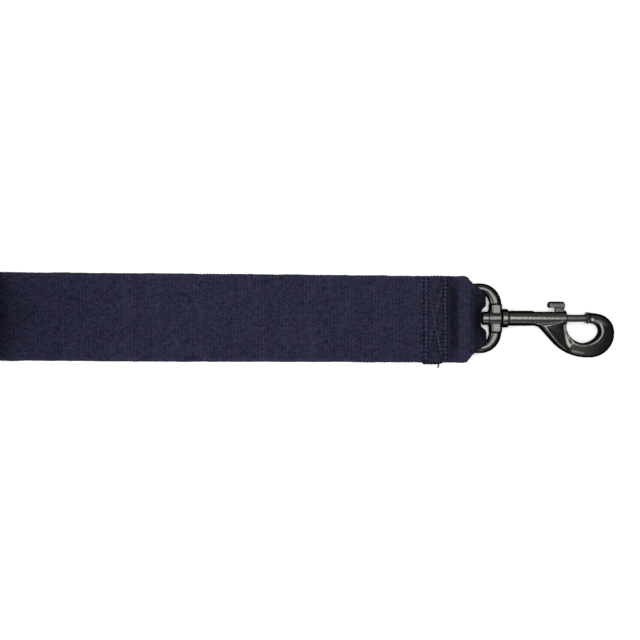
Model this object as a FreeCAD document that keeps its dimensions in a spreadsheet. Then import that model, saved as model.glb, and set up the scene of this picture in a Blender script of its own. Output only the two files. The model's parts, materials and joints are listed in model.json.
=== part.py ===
import FreeCAD, Part
import math
import os
import Sketcher
from FreeCAD import Placement, Rotation, Vector

# A flat strap lead with a swivel bolt snap, lying on the floor z = 0.
# +X runs along the strap towards the snap, +Y is across the strap on the thumb lever's side, +Z is up.
# The origin is under the middle of the whole object. Sizes are in millimetres.

doc = FreeCAD.newDocument("strap_lead")
sheet = doc.addObject("Spreadsheet::Sheet", "Dims")

DIMENSIONS = {
    # the whole lead
    "overall_length": 412.4,
    "axis_height": 5.4,
    # the strap
    "strap_width": 50.0,
    "strap_thick": 2.2,
    "roll_radius": 37.0,
    "roll_gap_reach": 8.0,
    "ramp_length": 5.0,
    "ramp_lead": 0.5,
    "underlay_length": 16.4,
    "seam_to_bar": 9.5,
    "fold_bar_gap": 0.3,
    "fold_rise_start": 1.0,
    "fold_rise_length": 5.5,
    "nose_shift": 0.4,
    "nose_half_width": 13.5,
    "mitre_back": 3.4,
    "mitre_nose_half": 11.8,
    # the seam
    "thread_dia": 0.5,
    "stitch_pitch": 2.3,
    "stitch_gap": 0.25,
    "cross_inset": 0.8,
    "row_half_length": 23.6,
    "row_gap": 10.7,
    "row_to_bar": 13.7,
    "cross_half_width": 17.5,
    # the swivel eye
    "eye_wire_dia": 5.8,
    "eye_width": 39.2,
    "eye_front": 14.75,
    "eye_rear_corner": 3.6,
    "eye_front_corner": 8.9,
    "boss_half_length": 8.6,
    "boss_shoulder": 7.3,
    "boss_end_radius": 2.4,
    "boss_radius": 4.2,
    "boss_half_height": 3.7,
    "hub_radius": 4.7,
    "hub_half_thick": 2.95,
    "hub_back": 4.4,
    "hub_bevel": 0.5,
    "boss_bore_dia": 4.6,
    # the swivel rivet
    "shank_dia": 4.5,
    "shank_play": 0.3,
    "shank_in_barrel": 6.6,
    "rivet_head_dia": 7.6,
    "rivet_head_thick": 3.3,
    "rivet_head_round": 0.7,
    # the snap's barrel
    "bar_to_barrel_front": 54.0,
    "collar_gap": 0.15,
    "collar_dia": 10.4,
    "collar_length": 3.6,
    "collar_round": 0.7,
    "groove_dia": 7.8,
    "groove_length": 0.5,
    "barrel_dia": 8.4,
    "barrel_round": 0.25,
    "bolt_bore_dia": 4.14,
    "bolt_bore_depth": 26.0,
    "slot_width": 3.3,
    "slot_front_wall": 0.8,
    "slot_length": 17.6,
    # the hook
    "hook_thick": 7.8,
    "hook_reach": 27.15,
    "hook_round": 3.7,
    "hole_round": 1.6,
    "nose_radius": 11.0,
    "belly_radius": 13.7,
    "belly_centre_drop": 8.3,
    "belly_flat": 1.8,
    "back_radius": 26.0,
    "back_slope": 48.0,
    "root_round": 5.0,
    "tip_front": 10.85,
    "tip_top": 3.5,
    "tip_under": 2.9,
    "hole_radius": 9.8,
    "hole_centre": 9.6,
    "hole_centre_drop": 4.1,
    "hole_corner": 4.2,
    "socket_depth": 1.6,
    # the bolt, its lever and its spring
    "bolt_dia": 4.0,
    "bolt_front": 12.2,
    "bolt_length": 20.7,
    "bolt_round": 0.4,
    "lever_hole_dia": 2.0,
    "lever_seat": 1.6,
    "lever_front": 1.1,
    "lever_neck_length": 5.0,
    "lever_neck_width": 3.0,
    "lever_neck_top": 5.9,
    "lever_tab_length": 9.1,
    "lever_tab_width": 5.6,
    "lever_tab_thick": 3.5,
    "lever_tab_round": 1.4,
    "spring_wire": 0.45,
    "spring_mean_dia": 3.3,
    "spring_turns": 8.0,
}

for row, (alias, number) in enumerate(DIMENSIONS.items(), start=1):
    sheet.set(f"A{row}", alias)
    sheet.set(f"B{row}", str(number))
    sheet.setAlias(f"B{row}", alias)
doc.recompute()


def size(alias):
    """The number that the sheet holds under an alias."""
    return float(sheet.get(alias))


NOSE_X = size("overall_length") / 2
BARREL_X = NOSE_X - size("hook_reach")
BAR_X = BARREL_X - size("bar_to_barrel_front")
ROLL_X = -size("overall_length") / 2 + size("roll_radius")
AXIS_Z = size("axis_height")
BARREL_EXPR = "Dims.overall_length / 2 - Dims.hook_reach"
BAR_EXPR = BARREL_EXPR + " - Dims.bar_to_barrel_front"

OVERCUT = 1.0      # how far a cutting shape reaches past what it cuts
CLOSE = 0.01       # two places closer than this are the same

sub_parts = []


# ---- helpers ----

def new_body(name, x_expr=None):
    """A body named after its node. With x_expr its origin sits on the swivel axis at that place along X."""
    body = doc.addObject("PartDesign::Body", name)
    body.Label = name
    if x_expr:
        body.setExpression("Placement.Base.x", x_expr)
        body.setExpression("Placement.Base.z", "Dims.axis_height")
    sub_parts.append(body)
    return body


def new_sketch(body, name, role, shift=(0, 0, 0)):
    """A sketch on one of the body's own origin planes, shifted within that plane's frame."""
    plane = [p for p in body.Origin.OriginFeatures if p.Role == role][0]
    sketch = body.newObject("Sketcher::SketchObject", name)
    sketch.AttachmentSupport = [(plane, "")]
    sketch.MapMode = "FlatFace"
    sketch.AttachmentOffset = Placement(Vector(*shift), Rotation())
    return sketch


def add_circle(sketch, x, y, diameter_expr, diameter):
    """A circle whose diameter is bound to the sheet."""
    index = sketch.addGeometry(Part.Circle(Vector(x, y, 0), Vector(0, 0, 1), diameter / 2))
    constraint = sketch.addConstraint(Sketcher.Constraint("Diameter", index, diameter))
    sketch.setExpression(f"Constraints[{constraint}]", diameter_expr)


def add_polygon(sketch, points):
    """A closed outline of straight lines through the points, joined end to end."""
    first = sketch.GeometryCount
    count = len(points)
    for i in range(count):
        start = Vector(*points[i], 0)
        end = Vector(*points[(i + 1) % count], 0)
        sketch.addGeometry(Part.LineSegment(start, end))
    for i in range(count):
        sketch.addConstraint(Sketcher.Constraint("Coincident", first + i, 2, first + (i + 1) % count, 1))


def add_box(sketch, x0, x1, y0, y1):
    """A rectangle between two corners."""
    add_polygon(sketch, [(x0, y0), (x1, y0), (x1, y1), (x0, y1)])


def line(start, end):
    return Part.LineSegment(Vector(*start, 0), Vector(*end, 0))


def arc(centre, radius, start_deg, end_deg):
    """An anticlockwise arc between two angles."""
    circle = Part.Circle(Vector(*centre, 0), Vector(0, 0, 1), radius)
    return Part.ArcOfCircle(circle, math.radians(start_deg), math.radians(end_deg))


def pad(body, sketch, name, length_expr, symmetric=True):
    feature = body.newObject("PartDesign::Pad", name)
    feature.Profile = sketch
    feature.SideType = "Symmetric" if symmetric else "One side"
    feature.setExpression("Length", length_expr)
    doc.recompute()
    return feature


def cut(body, sketch, name, length_expr, symmetric=True, backwards=False):
    """A pocket, which has to take something away."""
    before = body.Shape.Volume
    feature = body.newObject("PartDesign::Pocket", name)
    feature.Profile = sketch
    feature.SideType = "Symmetric" if symmetric else "One side"
    feature.Reversed = backwards
    feature.setExpression("Length", length_expr)
    doc.recompute()
    assert body.Shape.Volume < before - CLOSE, f"{name} cuts nothing"
    return feature


def turn(body, sketch, name, axis):
    """A full revolution about an axis of the sketch."""
    feature = body.newObject("PartDesign::Revolution", name)
    feature.Profile = sketch
    feature.ReferenceAxis = (sketch, [axis])
    feature.Angle = 360.0
    doc.recompute()
    return feature


def round_edges(body, base, name, radius_alias, chosen):
    """A fillet on the edges that the test picks."""
    names = [f"Edge{i}" for i, edge in enumerate(base.Shape.Edges, start=1) if chosen(edge)]
    assert names, f"{name} finds no edges"
    feature = body.newObject("PartDesign::Fillet", name)
    feature.Base = (base, names)
    feature.setExpression("Radius", f"Dims.{radius_alias}")
    doc.recompute()
    return feature


def middle(edge):
    """The point half way along an edge."""
    return edge.valueAt((edge.FirstParameter + edge.LastParameter) / 2)


def is_ring(edge, x, radius):
    """True for a circle, whole or in pieces, about the body's X axis at the given place and radius."""
    curve = edge.Curve
    if not isinstance(curve, Part.Circle):
        return False
    here = abs(curve.Center.x - x) < CLOSE and abs(curve.Radius - radius) < CLOSE
    return here and abs(abs(curve.Axis.x) - 1) < CLOSE


# ---- the strap ----

def make_roll():
    """The stored length of strap, wound up and standing on its outer turn."""
    body = new_body("strap_roll")
    body.setExpression("Placement.Base.x", "Dims.roll_radius - Dims.overall_length / 2")
    body.setExpression("Placement.Base.z", "Dims.roll_radius")
    sketch = new_sketch(body, "roll_outline", "XZ_Plane")
    add_circle(sketch, 0, 0, "2 * Dims.roll_radius", 2 * size("roll_radius"))
    pad(body, sketch, "roll_width", "Dims.strap_width")


def make_run():
    """The flat length of strap: it leaves the roll along the floor and steps up over the turned-back end."""
    thick = size("strap_thick")
    seam_x = BAR_X - size("seam_to_bar")
    step_x = seam_x - size("underlay_length")
    ramp_x = step_x - size("ramp_length")
    start_x = ROLL_X + size("roll_gap_reach")
    lead = size("ramp_lead")
    body = new_body("strap_run")
    sketch = new_sketch(body, "run_side", "XZ_Plane")
    add_polygon(sketch, [
        (start_x, 0), (ramp_x, 0), (step_x, thick), (seam_x, thick), (seam_x, 2 * thick),
        (step_x - lead, 2 * thick), (ramp_x - lead, thick), (start_x, thick)])
    pad(body, sketch, "run_width", "Dims.strap_width")
    hollow = new_sketch(body, "roll_clearance", "XZ_Plane")
    add_circle(hollow, ROLL_X, size("roll_radius"), "2 * Dims.roll_radius", 2 * size("roll_radius"))
    cut(body, hollow, "roll_hollow", "2 * Dims.strap_width")


def make_underlay():
    """The cut end of the strap, turned back under the seam."""
    seam_x = BAR_X - size("seam_to_bar")
    body = new_body("strap_underlay")
    sketch = new_sketch(body, "underlay_side", "XZ_Plane")
    add_box(sketch, seam_x - size("underlay_length"), seam_x, 0, size("strap_thick"))
    pad(body, sketch, "underlay_width", "Dims.strap_width")


def make_end_loop():
    """The fold round the eye's bar, with its corners tucked in so that it narrows towards the nose."""
    thick = size("strap_thick")
    seam_x = BAR_X - size("seam_to_bar")
    bar_room = size("eye_wire_dia") / 2 + size("fold_bar_gap")
    inner_top = AXIS_Z + bar_room
    outer_top = inner_top + thick
    nose_radius = outer_top / 2
    nose_x = BAR_X + size("nose_shift")
    rise_x = seam_x + size("fold_rise_start")
    rise_end_x = rise_x + size("fold_rise_length")
    strap_half = size("strap_width") / 2
    body = new_body("strap_end_loop")

    sketch = new_sketch(body, "fold_side", "XZ_Plane")
    sketch.addGeometry(line((seam_x, 0), (nose_x, 0)))
    sketch.addGeometry(arc((nose_x, nose_radius), nose_radius, -90, 90))
    sketch.addGeometry(line((nose_x, outer_top), (rise_end_x, outer_top)))
    sketch.addGeometry(line((rise_end_x, outer_top), (rise_x, 2 * thick)))
    sketch.addGeometry(line((rise_x, 2 * thick), (seam_x, 2 * thick)))
    sketch.addGeometry(line((seam_x, 2 * thick), (seam_x, 0)))
    pad(body, sketch, "fold_width", "Dims.strap_width")

    hollow = new_sketch(body, "bar_room_side", "XZ_Plane")
    inner_rise_x = rise_x + size("fold_rise_start")
    inner_rise_end_x = inner_rise_x + size("fold_rise_length")
    hollow.addGeometry(line((inner_rise_x, thick), (BAR_X, thick)))
    hollow.addGeometry(arc((BAR_X, (thick + inner_top) / 2), bar_room, -90, 90))
    hollow.addGeometry(line((BAR_X, inner_top), (inner_rise_end_x, inner_top)))
    hollow.addGeometry(line((inner_rise_end_x, inner_top), (inner_rise_x, thick)))
    cut(body, hollow, "bar_room", "2 * Dims.strap_width")

    # room for the eye's two arms, one on each side of the nose
    arms = new_sketch(body, "arm_room_front", "YZ_Plane", (0, 0, BAR_X - bar_room))
    for side in (-1, 1):
        add_box(arms, side * size("nose_half_width"), side * (strap_half + OVERCUT), thick, inner_top)
    cut(body, arms, "arm_room", "Dims.eye_front", symmetric=False, backwards=True)

    # the corners that are tucked away on both sides of the nose
    corners = new_sketch(body, "mitre_plan", "XY_Plane")
    back_x = BAR_X - size("mitre_back")
    nose_half = size("mitre_nose_half")
    mitre_x = back_x + strap_half - nose_half
    beyond_x = BAR_X + size("eye_front")
    for side in (-1, 1):
        beyond = side * (strap_half + OVERCUT)
        add_polygon(corners, [(back_x, side * strap_half), (back_x, beyond), (beyond_x, beyond),
                              (beyond_x, side * nose_half), (mitre_x, side * nose_half)])
    cut(body, corners, "mitre", "4 * Dims.axis_height")


# ---- the seam ----

def stitch_line(name, start, end):
    """A line of separate thread stitches lying on the strap, each a short round bar with round ends."""
    radius = size("thread_dia") / 2
    height = 2 * size("strap_thick") + radius
    a = Vector(start[0], start[1], height)
    b = Vector(end[0], end[1], height)
    count = int((b - a).Length // size("stitch_pitch"))
    step = (b - a) / count
    direction = Vector(step).normalize()
    gap = size("stitch_gap")
    body_length = step.Length - 2 * radius - gap
    stitches = []
    for i in range(count):
        first = a + step * i + direction * (radius + gap / 2)
        last = first + direction * body_length
        bar = Part.makeCylinder(radius, body_length, first, direction)
        stitches.append(bar.fuse([Part.makeSphere(radius, first), Part.makeSphere(radius, last)]))
    feature = doc.addObject("Part::Feature", name)
    feature.Label = name
    feature.Shape = Part.makeCompound(stitches)
    feature.Placement = Placement()
    sub_parts.append(feature)


def make_seam():
    """The box-X seam: a row at each end of the turned-back part and two rows that cross between them."""
    front_x = BAR_X - size("row_to_bar")
    rear_x = front_x - size("row_gap")
    half = size("row_half_length")
    cross = size("cross_half_width")
    stitch_line("seam_row_front", (front_x, -half), (front_x, half))
    stitch_line("seam_row_rear", (rear_x, -half), (rear_x, half))
    inset = size("cross_inset")
    stitch_line("seam_cross_left", (rear_x + inset, cross), (front_x - inset, -cross))
    stitch_line("seam_cross_right", (rear_x + inset, -cross), (front_x - inset, cross))


# ---- the swivel eye ----

def make_eye():
    """A cast eye: a D of round wire whose straight bar lies in the fold, with a bored boss at its front."""
    body = new_body("swivel_eye", BAR_EXPR)
    half = (size("eye_width") - size("eye_wire_dia")) / 2
    front = size("eye_front")
    rear = size("eye_rear_corner")
    corner = size("eye_front_corner")

    section = new_sketch(body, "wire_section", "XZ_Plane")
    add_circle(section, 0, 0, "Dims.eye_wire_dia", size("eye_wire_dia"))
    path = new_sketch(body, "wire_path", "XY_Plane")
    path.addGeometry(line((0, 0), (0, half - rear)))
    path.addGeometry(arc((rear, half - rear), rear, 90, 180))
    path.addGeometry(line((rear, half), (front - corner, half)))
    path.addGeometry(arc((front - corner, half - corner), corner, 0, 90))
    path.addGeometry(line((front, half - corner), (front, -(half - corner))))
    path.addGeometry(arc((front - corner, -(half - corner)), corner, -90, 0))
    path.addGeometry(line((front - corner, -half), (rear, -half)))
    path.addGeometry(arc((rear, -(half - rear)), rear, 180, 270))
    path.addGeometry(line((0, -(half - rear)), (0, 0)))
    wire = body.newObject("PartDesign::AdditivePipe", "wire")
    wire.Profile = section
    wire.Spine = path
    doc.recompute()

    flank = new_sketch(body, "boss_flank", "XY_Plane", (front, 0, 0))
    reach = size("boss_half_length")
    shoulder = size("boss_shoulder")
    end_radius = size("boss_end_radius")
    boss = size("boss_radius")
    add_polygon(flank, [(0, -reach), (end_radius, -reach), (boss, -shoulder), (boss, shoulder),
                        (end_radius, reach), (0, reach)])
    turn(body, flank, "boss", "V_Axis")

    # the boss is flat in front, above and below
    thick = size("hub_half_thick")
    height = size("boss_half_height")
    beyond = boss + OVERCUT
    front_flat = new_sketch(body, "front_flat_plan", "XY_Plane", (front, 0, 0))
    add_box(front_flat, thick, beyond, -reach - OVERCUT, reach + OVERCUT)
    cut(body, front_flat, "front_flat", "4 * Dims.boss_radius")
    flats = new_sketch(body, "boss_flats_face", "YZ_Plane", (0, 0, front))
    add_box(flats, -reach - OVERCUT, reach + OVERCUT, height, beyond)
    add_box(flats, -reach - OVERCUT, reach + OVERCUT, -beyond, -height)
    cut(body, flats, "boss_flats", "4 * Dims.boss_radius")

    # the hub is a bevelled disc round the bore, standing a little proud of the boss behind
    hub = size("hub_radius")
    bevel = size("hub_bevel")
    back = size("hub_back")
    disc = new_sketch(body, "hub_half", "XY_Plane", (front, 0, 0))
    add_polygon(disc, [(-back, 0), (-back, hub), (thick - bevel, hub), (thick, hub - bevel), (thick, 0)])
    turn(body, disc, "hub", "H_Axis")

    bore = new_sketch(body, "bore_face", "YZ_Plane", (0, 0, front))
    add_circle(bore, 0, 0, "Dims.boss_bore_dia", size("boss_bore_dia"))
    cut(body, bore, "bore", "4 * Dims.hub_half_thick")


def make_rivet():
    """The headed pin that joins the eye to the snap, so that the snap turns in the boss."""
    body = new_body("swivel_rivet", BAR_EXPR)
    inner_face = size("eye_front") - size("hub_back")
    head_front = inner_face - size("shank_play")
    head_back = head_front - size("rivet_head_thick")
    barrel_rear = size("eye_front") + size("hub_half_thick") + size("collar_gap")
    tail = barrel_rear + size("shank_in_barrel")
    head = size("rivet_head_dia") / 2
    shank = size("shank_dia") / 2
    sketch = new_sketch(body, "rivet_half", "XY_Plane")
    add_polygon(sketch, [(head_back, 0), (head_back, head), (head_front, head), (head_front, shank),
                         (tail, shank), (tail, 0)])
    solid = turn(body, sketch, "rivet", "H_Axis")
    round_edges(body, solid, "head_edge", "rivet_head_round", lambda e: is_ring(e, head_back, head))


# ---- the snap ----

def hook_outline(sketch):
    """The hook's plan, seen from above, with the barrel's front face at x = 0 and its axis along y = 0."""
    reach = size("hook_reach")
    drop = -size("belly_centre_drop")
    nose_r = size("nose_radius")
    belly_r = size("belly_radius")
    belly_x = reach - belly_r
    nose_x = reach - nose_r
    belly_y = drop - belly_r
    tip = (size("tip_front"), size("tip_top"))

    # the straight top of the tip is tangent to the nose arc
    to_tip = Vector(tip[0] - nose_x, tip[1] - drop, 0)
    lean = math.acos(nose_r / to_tip.Length)
    top_angle = math.atan2(to_tip.y, to_tip.x) - lean
    top = (nose_x + nose_r * math.cos(top_angle), drop + nose_r * math.sin(top_angle))
    sketch.addGeometry(line(tip, top))
    sketch.addGeometry(arc((nose_x, drop), nose_r, 0, math.degrees(top_angle)))
    sketch.addGeometry(arc((belly_x, drop), belly_r, -90, 0))

    # the belly runs into the long back arc, then straight up the back to the barrel
    back_r = size("back_radius")
    flat_x = belly_x - size("belly_flat")
    slope = math.radians(size("back_slope"))
    sketch.addGeometry(line((belly_x, belly_y), (flat_x, belly_y)))
    back_centre = (flat_x, belly_y + back_r)
    back_end_deg = 270 - size("back_slope")
    sketch.addGeometry(arc(back_centre, back_r, back_end_deg, 270))
    back_end = (flat_x - back_r * math.sin(slope), back_centre[1] - back_r * math.cos(slope))
    under = -size("barrel_dia") / 2
    corner_x = back_end[0] - (under - back_end[1]) / math.tan(slope)
    root = size("root_round")
    tangent = root * math.tan(slope / 2)
    root_start = (corner_x + tangent * math.cos(slope), under - tangent * math.sin(slope))
    root_x = corner_x - tangent
    sketch.addGeometry(line(back_end, root_start))
    sketch.addGeometry(arc((root_x, under - root), root, 90 - size("back_slope"), 90))

    # inside the barrel, then round the hole to the underside of the tip
    inside = 0
    hole_r = size("hole_radius")
    hole_x = size("hole_centre")
    hole_y = -size("hole_centre_drop")
    tip_under = -size("tip_under")
    corner_r = size("hole_corner")
    corner_y = tip_under - corner_r
    apart = hole_r - corner_r
    corner_dx = math.sqrt(apart ** 2 - (corner_y - hole_y) ** 2)
    meet = math.degrees(math.atan2(corner_y - hole_y, corner_dx))
    sketch.addGeometry(line((root_x, under), (root_x, inside)))
    sketch.addGeometry(line((root_x, inside), (hole_x - hole_r, inside)))
    sketch.addGeometry(line((hole_x - hole_r, inside), (hole_x - hole_r, hole_y)))
    sketch.addGeometry(arc((hole_x, hole_y), hole_r, 180, 360 + meet))
    sketch.addGeometry(arc((hole_x + corner_dx, corner_y), corner_r, meet, 90))
    sketch.addGeometry(line((hole_x + corner_dx, tip_under), (tip[0], tip_under)))
    sketch.addGeometry(line((tip[0], tip_under), tip))


def in_hole(point):
    """True for a point on the wall of the hook's hole."""
    across = math.hypot(point.x - size("hole_centre"), point.y + size("hole_centre_drop"))
    return across < size("hole_radius") + CLOSE and point.y < -size("tip_under") + CLOSE


def outline_edge(edge, inner):
    """True for an edge round the top or bottom face, on the hole's side or on the outer side."""
    at = middle(edge)
    if abs(abs(at.z) - size("hook_thick") / 2) > CLOSE:
        return False
    in_barrel = at.x < 0 and at.y > -size("barrel_dia") / 2 + CLOSE
    on_tip_face = abs(at.x - size("tip_front")) < CLOSE
    if in_barrel or on_tip_face:
        return False
    return in_hole(at) == inner


def make_snap_body():
    """The cast snap: hook, barrel and collar in one, bored for the bolt and slotted for the lever."""
    body = new_body("snap_body", BARREL_EXPR)
    plan = new_sketch(body, "hook_plan", "XY_Plane")
    hook_outline(plan)
    hook = pad(body, plan, "hook", "Dims.hook_thick")
    outer = round_edges(body, hook, "hook_edges", "hook_round", lambda e: outline_edge(e, False))
    round_edges(body, outer, "hole_edges", "hole_round", lambda e: outline_edge(e, True))

    rear = -(size("bar_to_barrel_front") - size("eye_front") - size("hub_half_thick") - size("collar_gap"))
    collar_end = rear + size("collar_length")
    groove_end = collar_end + size("groove_length")
    half = new_sketch(body, "barrel_half", "XY_Plane")
    add_polygon(half, [
        (rear, 0), (rear, size("collar_dia") / 2), (collar_end, size("collar_dia") / 2),
        (collar_end, size("groove_dia") / 2), (groove_end, size("groove_dia") / 2),
        (groove_end, size("barrel_dia") / 2), (0, size("barrel_dia") / 2), (0, 0)])
    barrel = turn(body, half, "barrel", "H_Axis")
    collar_edges = round_edges(body, barrel, "collar_edges", "collar_round",
                               lambda e: is_ring(e, rear, size("collar_dia") / 2)
                               or is_ring(e, collar_end, size("collar_dia") / 2))
    round_edges(body, collar_edges, "barrel_edge", "barrel_round",
                lambda e: is_ring(e, groove_end, size("barrel_dia") / 2))

    shank = new_sketch(body, "shank_face", "YZ_Plane", (0, 0, rear))
    add_circle(shank, 0, 0, "Dims.shank_dia", size("shank_dia"))
    cut(body, shank, "shank_bore", "Dims.shank_in_barrel", symmetric=False, backwards=True)

    bore = new_sketch(body, "bolt_face", "YZ_Plane")
    add_circle(bore, 0, 0, "Dims.bolt_bore_dia", size("bolt_bore_dia"))
    cut(body, bore, "bolt_bore", "Dims.bolt_bore_depth", symmetric=False)
    socket = new_sketch(body, "socket_face", "YZ_Plane", (0, 0, size("tip_front")))
    add_circle(socket, 0, 0, "Dims.bolt_bore_dia", size("bolt_bore_dia"))
    cut(body, socket, "socket", "Dims.socket_depth", symmetric=False, backwards=True)

    slot = new_sketch(body, "slot_plan", "XZ_Plane")
    slot_front = -size("slot_front_wall")
    half_slot = size("slot_width") / 2
    add_box(slot, slot_front - size("slot_length"), slot_front, -half_slot, half_slot)
    cut(body, slot, "slot", "Dims.barrel_dia", symmetric=False)


def make_bolt():
    """The sliding bolt: its nose rests in the hook's socket, and its tail carries the lever."""
    body = new_body("snap_bolt", BARREL_EXPR)
    tail = size("bolt_front") - size("bolt_length")
    radius = size("bolt_dia") / 2
    face = new_sketch(body, "bolt_section", "YZ_Plane", (0, 0, tail))
    add_circle(face, 0, 0, "Dims.bolt_dia", size("bolt_dia"))
    rod = pad(body, face, "rod", "Dims.bolt_length", symmetric=False)
    round_edges(body, rod, "rod_ends", "bolt_round",
                lambda e: is_ring(e, size("bolt_front"), radius) or is_ring(e, tail, radius))
    seat = new_sketch(body, "seat_side", "XY_Plane")
    add_box(seat, -size("lever_front") - size("lever_neck_length"), -size("lever_front"),
            size("lever_seat"), radius + OVERCUT)
    cut(body, seat, "seat", "2 * Dims.bolt_dia")
    hole = new_sketch(body, "lever_hole_plan", "XZ_Plane")
    centre_x = -size("lever_front") - size("lever_neck_length") / 2
    add_circle(hole, centre_x, 0, "Dims.lever_hole_dia", size("lever_hole_dia"))
    cut(body, hole, "lever_hole", "2 * Dims.bolt_dia")


def make_lever():
    """The thumb lever: a tab on a neck that stands out through the slot, riveted into the bolt."""
    body = new_body("thumb_lever", BARREL_EXPR)
    front = -size("lever_front")
    neck_rear = front - size("lever_neck_length")
    tab_rear = front - size("lever_tab_length")
    neck_top = size("lever_neck_top")
    tab_top = neck_top + size("lever_tab_thick")

    neck = new_sketch(body, "neck_side", "XY_Plane")
    add_box(neck, neck_rear, front, size("lever_seat"), neck_top + OVERCUT)
    pad(body, neck, "neck", "Dims.lever_neck_width")
    tab = new_sketch(body, "tab_side", "XY_Plane")
    add_box(tab, tab_rear, front, neck_top, tab_top)
    tab_pad = pad(body, tab, "tab", "Dims.lever_tab_width")
    round_edges(body, tab_pad, "tab_edges", "lever_tab_round", lambda e: on_tab(e, tab_rear, tab_top))
    spigot = new_sketch(body, "spigot_plan", "XZ_Plane")
    add_circle(spigot, (front + neck_rear) / 2, 0, "Dims.lever_hole_dia", size("lever_hole_dia"))
    spigot_pad = pad(body, spigot, "spigot", "2 * Dims.lever_seat")
    body.Tip = spigot_pad


def on_tab(edge, tab_rear, tab_top):
    """True for the tab's long top edges and its rear corners."""
    at = middle(edge)
    on_top = abs(at.y - tab_top) < CLOSE
    at_rear = abs(at.x - tab_rear) < CLOSE
    at_side = abs(abs(at.z) - size("lever_tab_width") / 2) < CLOSE
    across = abs(at.z) < CLOSE
    return (on_top and (at_side or across)) or at_rear


def make_spring():
    """The compression spring between the bottom of the bore and the bolt's tail."""
    wire = size("spring_wire")
    start = -size("bolt_bore_depth") + wire / 2
    end = size("bolt_front") - size("bolt_length") - wire / 2
    turns = size("spring_turns")
    radius = size("spring_mean_dia") / 2
    helix = Part.makeHelix((end - start) / turns, end - start, radius)
    section = Part.Wire([Part.makeCircle(wire / 2, Vector(radius, 0, 0), Vector(0, 1, 0))])
    coil = Part.Wire(helix).makePipeShell([section], True, True)
    feature = doc.addObject("Part::Feature", "bolt_spring")
    feature.Label = "bolt_spring"
    feature.Shape = coil
    feature.Placement = Placement(Vector(BARREL_X + start, 0, AXIS_Z), Rotation(Vector(0, 1, 0), 90))
    sub_parts.append(feature)


make_roll()
make_run()
make_underlay()
make_end_loop()
make_seam()
make_eye()
make_rivet()
make_snap_body()
make_bolt()
make_lever()
make_spring()
doc.recompute()

for thing in doc.Objects:
    assert "Invalid" not in thing.State and "Error" not in thing.State, f"{thing.Name}: {thing.State}"
for part in sub_parts:
    assert not part.Shape.isNull() and part.Shape.isValid(), f"{part.Label} is not a valid shape"

os.makedirs("parts", exist_ok=True)
for part in sub_parts:
    part.Shape.exportStep(f"parts/{part.Label}.step")
    box = part.Shape.BoundBox
    print(f"{part.Label}: {len(part.Shape.Solids)} solid(s), {part.Shape.Volume:.1f} mm3, "
          f"x {box.XMin:.2f}..{box.XMax:.2f}, y {box.YMin:.2f}..{box.YMax:.2f}, "
          f"z {box.ZMin:.2f}..{box.ZMax:.2f}")
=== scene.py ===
import json
import math
import random

import bpy
import numpy as np
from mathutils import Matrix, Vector
from mathutils.kdtree import KDTree


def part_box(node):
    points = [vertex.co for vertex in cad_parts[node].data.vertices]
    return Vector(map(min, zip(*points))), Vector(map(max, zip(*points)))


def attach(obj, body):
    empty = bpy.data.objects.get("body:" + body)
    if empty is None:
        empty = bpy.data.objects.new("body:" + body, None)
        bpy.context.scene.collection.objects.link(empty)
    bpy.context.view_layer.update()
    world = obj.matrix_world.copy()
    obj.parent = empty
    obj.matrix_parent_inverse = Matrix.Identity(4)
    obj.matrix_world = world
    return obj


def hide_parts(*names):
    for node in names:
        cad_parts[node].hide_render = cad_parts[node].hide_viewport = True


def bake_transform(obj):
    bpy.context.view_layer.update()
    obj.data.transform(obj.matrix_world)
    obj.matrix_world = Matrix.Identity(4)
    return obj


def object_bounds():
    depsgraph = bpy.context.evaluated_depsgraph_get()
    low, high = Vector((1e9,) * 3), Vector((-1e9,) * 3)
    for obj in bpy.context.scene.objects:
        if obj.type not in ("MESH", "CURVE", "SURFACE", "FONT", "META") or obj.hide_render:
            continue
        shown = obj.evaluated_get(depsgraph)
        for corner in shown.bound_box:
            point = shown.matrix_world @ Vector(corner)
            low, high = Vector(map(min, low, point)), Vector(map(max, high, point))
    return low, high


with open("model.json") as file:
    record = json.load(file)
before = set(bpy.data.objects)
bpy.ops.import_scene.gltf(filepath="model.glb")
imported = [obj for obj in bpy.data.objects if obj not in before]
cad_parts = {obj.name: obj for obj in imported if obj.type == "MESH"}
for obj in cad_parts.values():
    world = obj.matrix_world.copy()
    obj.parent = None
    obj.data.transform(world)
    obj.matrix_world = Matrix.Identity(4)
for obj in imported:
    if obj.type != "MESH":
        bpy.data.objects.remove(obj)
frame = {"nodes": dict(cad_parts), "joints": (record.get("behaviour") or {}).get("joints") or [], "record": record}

CAD_LOW, CAD_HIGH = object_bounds()
MM = 0.001

# ---- places taken from the frame ----

ROLL_LOW, ROLL_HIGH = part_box("strap_roll")
_, RUN_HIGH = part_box("strap_run")
UNDERLAY_LOW, UNDERLAY_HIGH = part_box("strap_underlay")
FRONT_ROW_LOW, FRONT_ROW_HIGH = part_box("seam_row_front")
REAR_ROW_LOW, REAR_ROW_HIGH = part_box("seam_row_rear")
EYE_LOW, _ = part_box("swivel_eye")
SPRING_LOW, SPRING_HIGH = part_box("bolt_spring")
JOINTS = {joint["name"]: joint for joint in frame["joints"]}

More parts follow.
